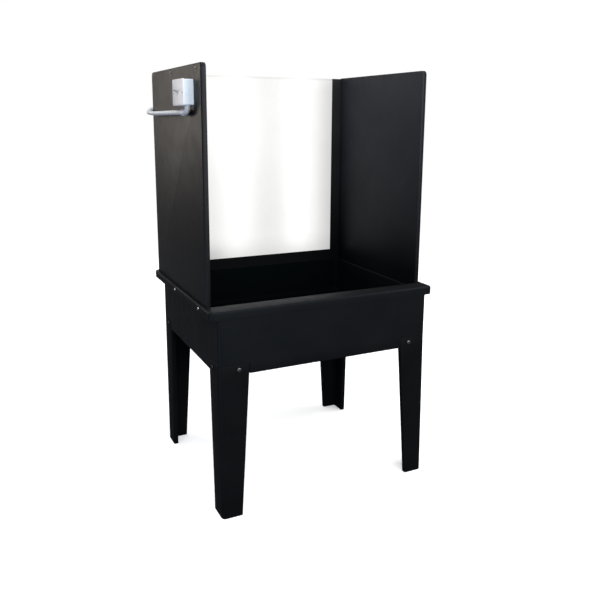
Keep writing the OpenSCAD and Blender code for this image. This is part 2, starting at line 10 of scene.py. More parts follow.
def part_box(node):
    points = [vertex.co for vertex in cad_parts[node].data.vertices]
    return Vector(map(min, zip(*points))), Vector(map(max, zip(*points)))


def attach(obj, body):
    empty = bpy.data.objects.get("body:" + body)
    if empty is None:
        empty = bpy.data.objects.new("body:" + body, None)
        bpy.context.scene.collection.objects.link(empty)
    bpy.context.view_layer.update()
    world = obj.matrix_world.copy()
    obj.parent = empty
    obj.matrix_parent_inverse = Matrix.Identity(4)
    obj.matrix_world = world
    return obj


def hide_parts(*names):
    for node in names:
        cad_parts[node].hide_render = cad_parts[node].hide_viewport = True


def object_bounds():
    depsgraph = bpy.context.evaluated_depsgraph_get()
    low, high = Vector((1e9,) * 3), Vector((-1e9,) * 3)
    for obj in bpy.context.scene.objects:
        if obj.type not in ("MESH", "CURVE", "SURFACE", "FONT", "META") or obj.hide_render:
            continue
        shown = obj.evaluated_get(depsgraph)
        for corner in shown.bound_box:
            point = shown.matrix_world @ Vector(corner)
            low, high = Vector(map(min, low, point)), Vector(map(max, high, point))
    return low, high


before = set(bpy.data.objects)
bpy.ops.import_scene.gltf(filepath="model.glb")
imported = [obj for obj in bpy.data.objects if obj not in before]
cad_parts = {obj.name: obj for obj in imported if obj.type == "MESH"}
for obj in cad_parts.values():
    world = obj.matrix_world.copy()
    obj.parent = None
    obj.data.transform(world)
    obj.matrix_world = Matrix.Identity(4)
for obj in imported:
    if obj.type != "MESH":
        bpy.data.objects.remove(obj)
cad_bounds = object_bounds()
scene = bpy.context.scene
ROOT = "booth"

# ---------- places, from the CAD boxes ----------

tank_lo, tank_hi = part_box("tank")
OX = (tank_lo[0] + tank_hi[0]) / 2          # the booth's middle plane
OY = tank_lo[1] + 0.072                     # the plane of the panels' front edges
FLOOR_Z = cad_bounds[0][2]


def P(x, y, z):
    """A point given in the booth's own millimetres, as metres in the row frame."""
    return Vector((x / 1000 + OX, y / 1000 + OY, z / 1000))


# ---------- materials ----------

WAVE_DEPTH = 0.004                          # depth of the slow unevenness, metres
EDGE_SOFT = (0.006, 0.006, 0.006)           # half width of a shaded box's edges, metres


def new_material(name):
    m = bpy.data.materials.new(name)
    m.use_nodes = True
    n = m.node_tree.nodes
    return m, n, m.node_tree.links, n["Principled BSDF"]


def noise(n, links, coord, scale, detail=3.0, rough=0.5, stretch=None):
    """A noise texture in object space, drawn out along the axes by stretch."""
    t = n.new("ShaderNodeTexNoise")
    t.inputs["Scale"].default_value = scale
    t.inputs["Detail"].default_value = detail
    t.inputs["Roughness"].default_value = rough
    if stretch:
        mp = n.new("ShaderNodeMapping")
        mp.inputs["Scale"].default_value = stretch
        links.new(coord.outputs["Object"], mp.inputs["Vector"])
        links.new(mp.outputs["Vector"], t.inputs["Vector"])
    else:
        links.new(coord.outputs["Object"], t.inputs["Vector"])
    return t


def spread(n, links, source, low, high, lo_in=0.3, hi_in=0.7):
    """Maps source from lo_in..hi_in to low..high."""
    r = n.new("ShaderNodeMapRange")
    r.inputs["From Min"].default_value = lo_in
    r.inputs["From Max"].default_value = hi_in
    r.inputs["To Min"].default_value = low
    r.inputs["To Max"].default_value = high
    links.new(source, r.inputs["Value"])
    return r.outputs["Result"]


def surface(name, dark, light, rough, spec=0.5, metallic=0.0, big=6.0, fine=900.0,
            bump=0.05, bump_mm=0.1, wave=0.0, wave_scale=3.0, cool_reflection_tint=None, areas=()):
    """A plastic, paint or metal: two close colours in soft patches, uneven gloss, fine grain.

    big and fine are noise scales, wave adds a slow unevenness, and each of areas is a box of
    painted shade or painted light, as shade_area takes it.
    """
    m, n, links, b = new_material(name)
    c = n.new("ShaderNodeTexCoord")
    patch = noise(n, links, c, big, 4.0, 0.55)
    mix = n.new("ShaderNodeMix")
    mix.data_type = "RGBA"
    mix.inputs["A"].default_value = (*dark, 1)
    mix.inputs["B"].default_value = (*light, 1)
    links.new(spread(n, links, patch.outputs["Fac"], 0, 1), mix.inputs["Factor"])
    links.new(mix.outputs["Result"], b.inputs["Base Color"])
    smear = noise(n, links, c, big * 3.7, 5.0, 0.6)
    links.new(spread(n, links, smear.outputs["Fac"], rough[0], rough[1]), b.inputs["Roughness"])
    b.inputs["Metallic"].default_value = metallic
    b.inputs["Specular IOR Level"].default_value = spec
    # painted reflection colour: a bluish specular tint stands in for cool light reflected by the
    # black plastics
    if cool_reflection_tint:
        b.inputs["Specular Tint"].default_value = (*cool_reflection_tint, 1)
    grain = noise(n, links, c, fine, 2.0, 0.5)
    bp = n.new("ShaderNodeBump")
    bp.inputs["Strength"].default_value = bump
    bp.inputs["Distance"].default_value = bump_mm / 1000
    links.new(grain.outputs["Fac"], bp.inputs["Height"])
    last = bp
    if wave:
        w = noise(n, links, c, wave_scale, 2.0, 0.4)
        bw = n.new("ShaderNodeBump")
        bw.inputs["Strength"].default_value = wave
        bw.inputs["Distance"].default_value = WAVE_DEPTH
        links.new(w.outputs["Fac"], bw.inputs["Height"])
        links.new(bp.outputs["Normal"], bw.inputs["Normal"])
        last = bw
    links.new(last.outputs["Normal"], b.inputs["Normal"])
    colour = mix.outputs["Result"]
    for place in areas:
        colour = shade_area(n, links, c, b, colour, spec, *place)
    return m


def shade_area(n, links, coord, b, colour, spec, low, high, shade, spec_in=None,
               soft=EDGE_SOFT):
    """Paints shade or light into a box: multiplies the colour by shade inside it, and sets the
    specular level to spec_in there.

    low and high are the box's corners in metres; soft is half the width of its edges on X, Y, Z.
    """
    xyz = n.new("ShaderNodeSeparateXYZ")
    links.new(coord.outputs["Object"], xyz.inputs["Vector"])
    mask = None
    for k, axis in enumerate("XYZ"):
        for edge, up in ((low[k], True), (high[k], False)):
            step = spread(n, links, xyz.outputs[axis], 0.0 if up else 1.0, 1.0 if up else 0.0,
                          edge - soft[k], edge + soft[k])
            if mask is None:
                mask = step
                continue
            t = n.new("ShaderNodeMath")
            t.operation = "MULTIPLY"
            links.new(mask, t.inputs[0])
            links.new(step, t.inputs[1])
            mask = t.outputs[0]
    dark = n.new("ShaderNodeMix")
    dark.data_type = "RGBA"
    dark.blend_type = "MULTIPLY"
    dark.inputs["B"].default_value = (*shade, 1)
    links.new(mask, dark.inputs["Factor"])
    links.new(colour, dark.inputs["A"])
    links.new(dark.outputs["Result"], b.inputs["Base Color"])
    if spec_in is not None:
        links.new(spread(n, links, mask, spec, spec_in, 0.0, 1.0), b.inputs["Specular IOR Level"])
    return dark.outputs["Result"]


# boxes of painted shade and painted light: two corners, colour factor, specular level, edge
# softness
# painted shade: the basin's inside is darkened, with a weaker gloss, where its walls shade it
BASIN_PAINTED_SHADE = (P(-403, -1, 540), P(403, 597, 726), (0.15, 0.3, 0.3), 0.015)
# painted shade: the side panels' inner faces are darkened, with a weaker gloss
INNER_FACES_PAINTED_SHADE = (P(-412, -200, 700), P(412, 800, 1600), (0.5, 0.5, 0.54), 0.055)
# painted light: the panels' inner faces get lighter towards the top
INNER_FACES_PAINTED_LIGHT_RISE = (P(-412, -200, 1130), P(412, 800, 3000), (10.5, 10.5, 10.3), None,
              (0.006, 0.006, 0.36))
# painted shade: the light box's trim is darker towards its foot
TRIM_PAINTED_SHADE_FOOT = ((-2, -2, -2), (2, 2, 1.13), (0.09, 0.12, 0.12), 0.05, (0.36, 0.36, 0.36))
# painted shade: the leg screws in the apron's sides are darkened
SIDE_SCREWS_PAINTED_SHADE = (P(-480, -25, 480), P(480, 555, 580), (0.3, 0.3, 0.32))

M = {
    "tank": surface("tank_black", (0.0030, 0.0036, 0.0042), (0.0050, 0.0057, 0.0067),
                    (0.50, 0.62), 0.110, big=5, fine=1400, bump=0.22, bump_mm=0.12, wave=0.05,
                    cool_reflection_tint=(0.80, 0.90, 1.0), areas=[BASIN_PAINTED_SHADE]),
    "leg": surface("leg_black", (0.0025, 0.0029, 0.0035), (0.0041, 0.0046, 0.0054),
                   (0.48, 0.6), 0.078, big=8, fine=1500, bump=0.22, bump_mm=0.1, wave=0.04,
                   cool_reflection_tint=(0.86, 0.93, 1.0)),
    "panel": surface("panel_black", (0.0045, 0.0048, 0.0057), (0.0068, 0.0070, 0.0081),
                     (0.40, 0.50), 0.15, big=3.5, fine=1100, bump=0.12, bump_mm=0.08,
                     wave=0.07, wave_scale=2.2, cool_reflection_tint=(0.90, 0.94, 1.0),
                     areas=[INNER_FACES_PAINTED_SHADE, INNER_FACES_PAINTED_LIGHT_RISE]),
    "trim": surface("trim_black", (0.019, 0.021, 0.022), (0.026, 0.028, 0.030),
                    (0.46, 0.58), 0.07, big=9, fine=1200, bump=0.1, bump_mm=0.06,
                    areas=[TRIM_PAINTED_SHADE_FOOT]),
    "housing": surface("housing_black_paint", (0.010, 0.010, 0.0115), (0.015, 0.015, 0.017),
                       (0.42, 0.55), 0.45, big=7, fine=2200, bump=0.25, bump_mm=0.06),
    "white_paint": surface("white_enamel", (0.72, 0.73, 0.73), (0.82, 0.82, 0.81),
                           (0.3, 0.42), 0.5, big=10, fine=1500, bump=0.05, bump_mm=0.05),
    "grey_paint": surface("grey_case", (0.36, 0.36, 0.37), (0.46, 0.46, 0.46),
                          (0.35, 0.5), 0.5, big=20, fine=1800, bump=0.1),
    "steel": surface("zinc_steel", (0.44, 0.44, 0.43), (0.62, 0.61, 0.58), (0.24, 0.42), 0.5,
                     metallic=1.0, big=120, fine=3000, bump=0.08, bump_mm=0.03),
    "bright_steel": surface("bright_screw", (0.46, 0.46, 0.46), (0.62, 0.62, 0.62), (0.22, 0.36),
                            0.5, metallic=1.0, big=150, fine=3000, bump=0.05, bump_mm=0.02),
    "dull_steel": surface("dull_screw", (0.15, 0.135, 0.13), (0.23, 0.205, 0.20), (0.40, 0.52),
                          0.5, metallic=1.0, big=150, fine=3000, bump=0.08, bump_mm=0.03),
    "dark_steel": surface("dark_screw", (0.14, 0.14, 0.145), (0.23, 0.23, 0.235), (0.26, 0.4),
                          0.5, metallic=1.0, big=130, fine=3000, bump=0.08, bump_mm=0.03,
                          areas=[SIDE_SCREWS_PAINTED_SHADE]),
    "aluminium": surface("cap_metal", (0.6, 0.6, 0.6), (0.75, 0.75, 0.76), (0.25, 0.4), 0.5,
                         metallic=1.0, big=90, fine=2500, bump=0.05, bump_mm=0.03),
    # painted light: the box shell's blue tint stands in for cool light on its sides; the box itself
    # is light grey
    "box": surface("box_grey", (0.76, 0.84, 0.92), (0.81, 0.89, 0.97), (0.34, 0.46), 0.45,
                   big=25, fine=2200, bump=0.12, bump_mm=0.05),
    "cover": surface("cover_grey", (0.84, 0.85, 0.88), (0.89, 0.90, 0.93), (0.32, 0.44), 0.45,
                     big=25, fine=2200, bump=0.12, bump_mm=0.05),
    "lever": surface("lever_grey", (0.34, 0.34, 0.35), (0.42, 0.42, 0.43), (0.25, 0.38), 0.5,
                     big=60, fine=2000, bump=0.04, bump_mm=0.03),
    "holder": surface("holder_white", (0.70, 0.70, 0.68), (0.80, 0.80, 0.78), (0.3, 0.42), 0.5,
                      big=40, fine=2000, bump=0.04, bump_mm=0.03),
    "fitting": surface("fitting_grey", (0.58, 0.60, 0.63), (0.68, 0.70, 0.73), (0.34, 0.46),
                       0.45, big=50, fine=2200, bump=0.1, bump_mm=0.05),
    "conduit": surface("conduit_grey", (0.76, 0.77, 0.78), (0.83, 0.84, 0.85), (0.40, 0.52),
                       0.4, big=30, fine=1800, bump=0.1, bump_mm=0.05),
    "drain": surface("drain_grey", (0.020, 0.020, 0.022), (0.032, 0.032, 0.035), (0.35, 0.48),
                     0.45, big=30, fine=1800, bump=0.12, bump_mm=0.06),
    "rubber": surface("gasket_black", (0.010, 0.010, 0.010), (0.018, 0.018, 0.018),
                      (0.6, 0.75), 0.35, big=40, fine=1600, bump=0.2, bump_mm=0.08),
    "strainer": surface("strainer_steel", (0.5, 0.5, 0.5), (0.66, 0.66, 0.66), (0.22, 0.36),
                        0.5, metallic=1.0, big=90, fine=2600, bump=0.06, bump_mm=0.03),
}


BAND_SHIFT, BAND_WIDTH = -0.020, 0.082      # of the bright bands from the tubes, metres
BASE_GLOW, BAND_GAIN = 0.72, 0.25           # emission away from the bands, and what they add


def lit_sheet():
    """Opal sheet, lit by three upright tubes behind it: soft bands, dimmer at edges and foot."""
    m, n, links, b = new_material("diffuser_opal")
    c = n.new("ShaderNodeTexCoord")
    xyz = n.new("ShaderNodeSeparateXYZ")
    links.new(c.outputs["Object"], xyz.inputs["Vector"])

    def math_node(op, a, v=None):
        k = n.new("ShaderNodeMath")
        k.operation = op
        for i, s in enumerate((a, v)):
            if s is None:
                continue
            if isinstance(s, (int, float)):
                k.inputs[i].default_value = s
            else:
                links.new(s, k.inputs[i])
        return k.outputs[0]

    def bell(value, centre, width):
        d = math_node("DIVIDE", math_node("SUBTRACT", value, centre), width)
        return math_node("EXPONENT", math_node("MULTIPLY", math_node("MULTIPLY", d, d), -1.0))

    # bright bands in front of the tubes, fading at the tubes' ends
    x, z = xyz.outputs["X"], xyz.outputs["Z"]
    glow = None
    for node in ("lamp_left", "lamp_middle", "lamp_right"):
        lo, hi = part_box(node)
        g = bell(x, (lo[0] + hi[0]) / 2 + BAND_SHIFT, BAND_WIDTH)
        glow = g if glow is None else math_node("ADD", glow, g)
    lo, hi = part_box("lamp_middle")
    rise = spread(n, links, z, 0.0, 1.0, lo[2] - 0.13, lo[2] - 0.03)
    fall = spread(n, links, z, 1.0, 0.0, hi[2] + 0.08, hi[2] + 0.22)
    ends = math_node("MULTIPLY", rise, fall)
    bands = math_node("MULTIPLY", math_node("MULTIPLY", glow, ends), BAND_GAIN)
    # dimmer towards both sides, the foot and the last few millimetres of the top
    lo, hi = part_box("diffuser_panel")
    side_l = spread(n, links, x, 0.80, 1.0, lo[0] + 0.04, lo[0] + 0.11)
    side_r = spread(n, links, x, 1.0, 0.78, hi[0] - 0.11, hi[0] - 0.04)
    foot = spread(n, links, z, 0.84, 1.0, lo[2] + 0.045, lo[2] + 0.13)
    level = math_node("MULTIPLY", math_node("MULTIPLY", side_l, side_r), foot)
    top = spread(n, links, z, 1.0, 0.86, hi[2] - 0.010, hi[2] - 0.005)
    level = math_node("MULTIPLY", level, top)
    level = math_node("MULTIPLY", level, math_node("ADD", bands, BASE_GLOW))
    # a dull patch low on the left, and faint smudges all over
    patch_x, patch_z = bell(x, lo[0] + 0.19, 0.07), bell(z, lo[2] + 0.05, 0.05)
    stain = math_node("MULTIPLY", math_node("MULTIPLY", patch_x, patch_z), -0.17)
    level = math_node("ADD", level, stain)
    smudge = noise(n, links, c, 9, 4, 0.6, (1.0, 1.0, 0.6))
    level = math_node("MULTIPLY", level, spread(n, links, smudge.outputs["Fac"], 0.955, 1.0))
    links.new(level, b.inputs["Emission Strength"])
    b.inputs["Emission Color"].default_value = (1.0, 0.998, 0.985, 1)
    patch = noise(n, links, c, 7, 4, 0.55)
    mix = n.new("ShaderNodeMix")
    mix.data_type = "RGBA"
    mix.inputs["A"].default_value = (0.17, 0.17, 0.165, 1)
    mix.inputs["B"].default_value = (0.20, 0.20, 0.197, 1)
    links.new(patch.outputs["Fac"], mix.inputs["Factor"])
    links.new(mix.outputs["Result"], b.inputs["Base Color"])
    links.new(spread(n, links, smudge.outputs["Fac"], 0.30, 0.42), b.inputs["Roughness"])
    b.inputs["Specular IOR Level"].default_value = 0.35
    bp = n.new("ShaderNodeBump")
    bp.inputs["Strength"].default_value = 0.05
    bp.inputs["Distance"].default_value = 0.0004
    fine = noise(n, links, c, 700, 2, 0.5)
    links.new(fine.outputs["Fac"], bp.inputs["Height"])
    links.new(bp.outputs["Normal"], b.inputs["Normal"])
    return m


def tube_glass():
    """Phosphor coated glass of a lit tube."""
    m, n, links, b = new_material("lamp_phosphor")
    c = n.new("ShaderNodeTexCoord")
    t = noise(n, links, c, 40, 3, 0.5)
    mix = n.new("ShaderNodeMix")
    mix.data_type = "RGBA"
    mix.inputs["A"].default_value = (0.82, 0.84, 0.86, 1)
    mix.inputs["B"].default_value = (0.90, 0.91, 0.92, 1)
    links.new(t.outputs["Fac"], mix.inputs["Factor"])
    links.new(mix.outputs["Result"], b.inputs["Base Color"])
    b.inputs["Roughness"].default_value = 0.12
    links.new(spread(n, links, t.outputs["Fac"], 1.1, 1.3), b.inputs["Emission Strength"])
    b.inputs["Emission Color"].default_value = (0.93, 0.96, 1.0, 1)
    return m


M["diffuser"] = lit_sheet()
M["lamp"] = tube_glass()

# ---------- mesh helpers ----------


def add(name, bm, material, replaces=(), body=ROOT, sharp=35.0):
    """Makes a piece of bm that rides on body; edges over sharp degrees stay crisp."""
    bmesh.ops.recalc_face_normals(bm, faces=bm.faces)
    me = bpy.data.meshes.new(name)
    bm.to_mesh(me)
    bm.free()
    me.materials.append(M[material])
    me.shade_smooth()
    me.set_sharp_from_angle(angle=math.radians(sharp))
    ob = bpy.data.objects.new(name, me)
    scene.collection.objects.link(ob)
    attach(ob, body)
    if replaces:
        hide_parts(*replaces)
    return ob


def loft(bm, rings, closed_start=True, closed_end=True):
    """Skins rings of equal length. Each ring is a list of points and closes on itself."""
    rows = [[bm.verts.new(p) for p in ring] for ring in rings]
    n = len(rows[0])
    for a, b in zip(rows, rows[1:]):
        for k in range(n):
            j = (k + 1) % n
            bm.faces.new((a[k], a[j], b[j], b[k]))
    if closed_start:
        bm.faces.new(list(reversed(rows[0])))
    if closed_end:
        bm.faces.new(rows[-1])
    return rows


def rounded(x0, x1, y0, y1, r, z, n=10):
    """A rounded rectangle in booth millimetres; z is a number or a function of y."""
    pts = []
    for cx, cy, a0 in ((x1 - r, y1 - r, 0), (x0 + r, y1 - r, 90),
                       (x0 + r, y0 + r, 180), (x1 - r, y0 + r, 270)):
        for k in range(n + 1):
            a = math.radians(a0 + 90 * k / n)
            x, y = cx + r * math.cos(a), cy + r * math.sin(a)
            pts.append(P(x, y, z(y) if callable(z) else z))
    return pts


def bevel(bm, width, segments=3, angle=40.0, only=None):
    """Rounds the sharp edges, by width in millimetres."""
    edges = [e for e in bm.edges if len(e.link_faces) == 2
             and e.calc_face_angle(0) > math.radians(angle) and (only is None or only(e))]
    bmesh.ops.bevel(bm, geom=edges, offset=width / 1000, segments=segments, profile=0.5,
                    affect="EDGES", clamp_overlap=True)


def block(bm, x0, x1, y0, y1, z0, z1):
    """A closed box in booth millimetres, for bevelling."""
    c = [P(x, y, z) for z in (z0, z1) for x, y in ((x0, y0), (x1, y0), (x1, y1), (x0, y1))]
    v = [bm.verts.new(p) for p in c]
    for f in ((3, 2, 1, 0), (4, 5, 6, 7), (0, 1, 5, 4), (1, 2, 6, 5), (2, 3, 7, 6), (3, 0, 4, 7)):
        bm.faces.new([v[k] for k in f])


def rounded_block(x0, x1, y0, y1, z0, z1, width, segments=3):
    """A box in booth millimetres with all its edges rounded by width."""
    bm = bmesh.new()
    block(bm, x0, x1, y0, y1, z0, z1)
    bmesh.ops.recalc_face_normals(bm, faces=bm.faces)
    bevel(bm, width, segments)
    return bm


def join(bms):
    """One bmesh from several."""
    out = bmesh.new()
    for b in bms:
        me = bpy.data.meshes.new("part")
        b.to_mesh(me)
        b.free()
        out.from_mesh(me)
        bpy.data.meshes.remove(me)
    return out


def frame_at(origin, way, roll=0.0):
    """A matrix whose +Z looks along way."""
    way = Vector(way).normalized()
    side = way.orthogonal().normalized()
    up = way.cross(side)
    rot = Matrix((side, up, way)).transposed().to_4x4()
    return Matrix.Translation(origin) @ rot @ Matrix.Rotation(roll, 4, "Z")


def lathe(bm, profile, matrix, n=32):
    """Turns (radius mm, height mm) points round +Z of matrix; ends on the axis are closed."""
    rings = []
    for r, h in profile:
        rings.append([matrix @ Vector((r / 1000 * math.cos(2 * math.pi * k / n),
                                       r / 1000 * math.sin(2 * math.pi * k / n), h / 1000))
                      for k in range(n)])
    return loft(bm, rings)


def cross_radius(a, arm, half):
    """Polar radius of a plus shape with arms of that length and half width."""
    a = abs((a + math.pi / 4) % (math.pi / 2) - math.pi / 4)
    return min(arm / math.cos(a), half / max(math.sin(a), 1e-6))


WASHER_T = 0.0008                           # thickness of a washer, metres


def pan_head(bm, matrix, r, h, shank=0.0, length=0.0, washer=0.0, n=32):
    """A pan head with a cross recess, its underside at the origin of matrix."""
    arm, half = 0.56 * r, 0.15 * r          # of the cross recess

    def circle(rad, z):
        return [(rad * math.cos(2 * math.pi * k / n), rad * math.sin(2 * math.pi * k / n), z)
                for k in range(n)]

    def cross(scale, z):
        turns = [2 * math.pi * k / n for k in range(n)]
        return [(scale * cross_radius(a, arm, half) * math.cos(a),
                 scale * cross_radius(a, arm, half) * math.sin(a), z) for a in turns]

    rings = []
    if shank:
        rings += [circle(shank, -length), circle(shank, 0)]
    rings += [circle(r * 0.97, 0), circle(r, h * 0.08), circle(r, h * 0.3),
              circle(r * 0.96, h * 0.55), circle(r * 0.86, h * 0.78), circle(r * 0.74, h * 0.92),
              circle(r * 0.66, h * 0.96), cross(1.0, h * 0.97), cross(0.93, h * 0.86),
              cross(0.62, h * 0.3)]
    loft(bm, [[matrix @ Vector((p[0] / 1000, p[1] / 1000, p[2] / 1000)) for p in ring]
              for ring in rings])
    if washer:
        lathe(bm, [(shank or 1, 0), (washer * 0.97, 0), (washer, 0.2), (washer, 0.6),
                   (washer * 0.97, 0.8), (shank or 1, 0.8)],
              matrix @ Matrix.Translation((0, 0, -WASHER_T)), n)


def swept(bm, points, radius_at, sides=16, normal=Vector((0, 0, 1))):
    """A tube along points; radius_at(distance, angle) is in metres."""
    rings, run = [], 0.0
    for k, p in enumerate(points):
        if k:
            run += (p - points[k - 1]).length
        a = points[max(k - 1, 0)]
        b = points[min(k + 1, len(points) - 1)]
        t = (b - a).normalized()
        side = t.cross(normal).normalized()
        up = side.cross(t)
        ring = []
        for s in range(sides):
            ang = 2 * math.pi * s / sides
            r = radius_at(run, ang)
            ring.append(p + side * (r * math.cos(ang)) + up * (r * math.sin(ang)))
        rings.append(ring)
    return loft(bm, rings)


def spline(pts, step):
    """A smooth curve through pts with points about step metres apart."""
    out = []
    for k in range(len(pts) - 1):
        p0, p1, p2, p3 = (pts[max(k - 1, 0)], pts[k], pts[k + 1], pts[min(k + 2, len(pts) - 1)])
        n = max(1, round((p2 - p1).length / step))
        for s in range(n):
            t = s / n
            out.append(0.5 * (2 * p1 + (p2 - p0) * t + (2 * p0 - 5 * p1 + 4 * p2 - p3) * t * t
                              + (3 * p1 - p0 - 3 * p2 + p3) * t ** 3))
    out.append(pts[-1].copy())
    return out


def boolean_cut(bm, cutters):
    """Takes the closed cutters out of bm with the exact solver."""
    me = bpy.data.meshes.new("cut_base")
    bm.to_mesh(me)
    bm.free()
    base = bpy.data.objects.new("cut_base", me)
    scene.collection.objects.link(base)
    tools = []
    for c in cutters:
        bmesh.ops.recalc_face_normals(c, faces=c.faces)
        cm = bpy.data.meshes.new("cutter")
        c.to_mesh(cm)
        c.free()
        t = bpy.data.objects.new("cutter", cm)
        scene.collection.objects.link(t)
        mod = base.modifiers.new("cut", "BOOLEAN")
        mod.operation = "DIFFERENCE"
        mod.solver = "EXACT"
        mod.object = t
        tools.append(t)
    bpy.context.view_layer.update()
    dg = bpy.context.evaluated_depsgraph_get()
    out = bmesh.new()
    out.from_mesh(base.evaluated_get(dg).to_mesh())
    for o in [base] + tools:
        m = o.data
        bpy.data.objects.remove(o)
        bpy.data.meshes.remove(m)
    return out


# ---------- dimensions shared by the visual pieces, in booth millimetres ----------

LIP_X, APRON_X, BASIN_X, OUTER_X, INNER_X = 438.0, 410.0, 400.0, 425.5, 406.5
RIM, SEAT, APRON_Z, FRONT, LIP_BACK, APRON_BACK = 735.0, 717.0, 510.0, -72.0, 638.0, 606.0
BASIN_BACK, PANEL_D, PANEL_TOP = 584.0, 620.0, 1520.0
LIP_UNDER, WALL = RIM - 30, 8
LEG_TOP, LEG_T, SPLAY = 548.0, 18.0, 12.0
LEG_TOP_W, LEG_FOOT_W, LEG_TOP_D, LEG_FOOT_D = 110, 74, 98, 82
POCKET_GAP = 0.9                            # between a leg's flange ends and its pocket
LEG_EASE, PANEL_EASE, PANEL_CORNER = 1.8, 4.5, 14.0
RIM_SCREW_Z, TOP_SCREW_Z = 722, 1503
DRAIN_Y, PAD_Z, DRAIN_R = 470.0, 564.0, 29.2
HEAD_IN_X, HEAD_IN_Y, HEAD_Z = 0.65 * LEG_TOP_W, 0.65 * LEG_TOP_D, 529


def floor_z(y):
    """Height of the basin's floor, which falls to the back."""
    return 568.0 + 24.0 * (BASIN_BACK - y) / BASIN_BACK


# ---------- tank and legs ----------

def leg_outline(forward, w, d, t, r=14.0, fillet=7.0):
    """An L with its rounded outer corner at (0, -forward), flanges along +X and +Y."""
    pts = []
    y0 = -forward
    for k in range(7):                      # outer corner, from the +Y side round to the +X side
        a = math.radians(180 + 90 * k / 6)
        pts.append((r + r * math.cos(a), y0 + r + r * math.sin(a)))
    pts += [(w, y0), (w, y0 + t)]
    for k in range(5):                      # inner fillet
        a = math.radians(270 - 90 * k / 4)
        pts.append((t + fillet + fillet * math.cos(a), y0 + t + fillet + fillet * math.sin(a)))
    pts += [(t, y0 + d), (0, y0 + d)]
    return pts


def leg_place(sx, sy, x, y, z):
    """A point of the leg at one corner; x and y run inward from the apron's faces."""
    bx = -APRON_X + x
    by = FRONT + y if sy < 0 else APRON_BACK - y
    return P(bx * -sx, by, z)


def leg_mesh(sx, sy):
    """A tapered L-section leg; the front legs also splay forward to the foot."""
    bm = bmesh.new()
    splay = SPLAY if sy < 0 else 0.0
    rings = []
    for z in (0.0, 130.0, 300.0, 505.0, LEG_TOP - 0.4):
        u = z / LEG_TOP
        w = LEG_FOOT_W + (LEG_TOP_W - LEG_FOOT_W) * u
        d = LEG_FOOT_D + (LEG_TOP_D - LEG_FOOT_D) * u
        rings.append([leg_place(sx, sy, x, y, z)
                      for x, y in leg_outline(splay * (1 - u), w, d, LEG_T)])
    loft(bm, rings)
    bmesh.ops.recalc_face_normals(bm, faces=bm.faces)
    bevel(bm, LEG_EASE, 3, 50.0)
    return bm


def pocket_cutter(sx, sy):
    """The room for a leg in the apron's corner."""
    bm = bmesh.new()
    t, w, d = LEG_T + 0.3, LEG_TOP_W + POCKET_GAP, LEG_TOP_D + POCKET_GAP
    grown = ((-4, -4), (w, -4), (w, t), (t, t), (t, d), (-4, d))
    loft(bm, [[leg_place(sx, sy, x, y, z) for x, y in grown] for z in (APRON_Z - 5, LEG_TOP + 0.5)])
    return bm


def pocket_liner(sx, sy):
    """The walls and the top of the pocket that a leg stands in."""
    bm = bmesh.new()
    t0, t1, w, d = LEG_T + 0.3, 26.0, 117.0, 105.0
    out = [(t0, t0), (w, t0), (w, t1), (t1, t1), (t1, d), (t0, d)]
    loft(bm, [[leg_place(sx, sy, x, y, z) for x, y in out] for z in (APRON_Z + 1, LEG_TOP + 1)])
    cap = [(8, 8), (w, 8), (w, t1), (t1, t1), (t1, d), (8, d)]
    loft(bm, [[leg_place(sx, sy, x, y, z) for x, y in cap] for z in (LEG_TOP + 1, LEG_TOP + 8)])
    for x0, x1, y0, y1 in ((LEG_TOP_W + POCKET_GAP, w, 7.5, t1),
                           (7.5, t1, LEG_TOP_D + POCKET_GAP, d)):
        end = [(x0, y0), (x1, y0), (x1, y1), (x0, y1)]
        loft(bm, [[leg_place(sx, sy, x, y, z) for x, y in end] for z in (APRON_Z + 1, LEG_TOP + 1)])
    bmesh.ops.recalc_face_normals(bm, faces=bm.faces)
    return bm


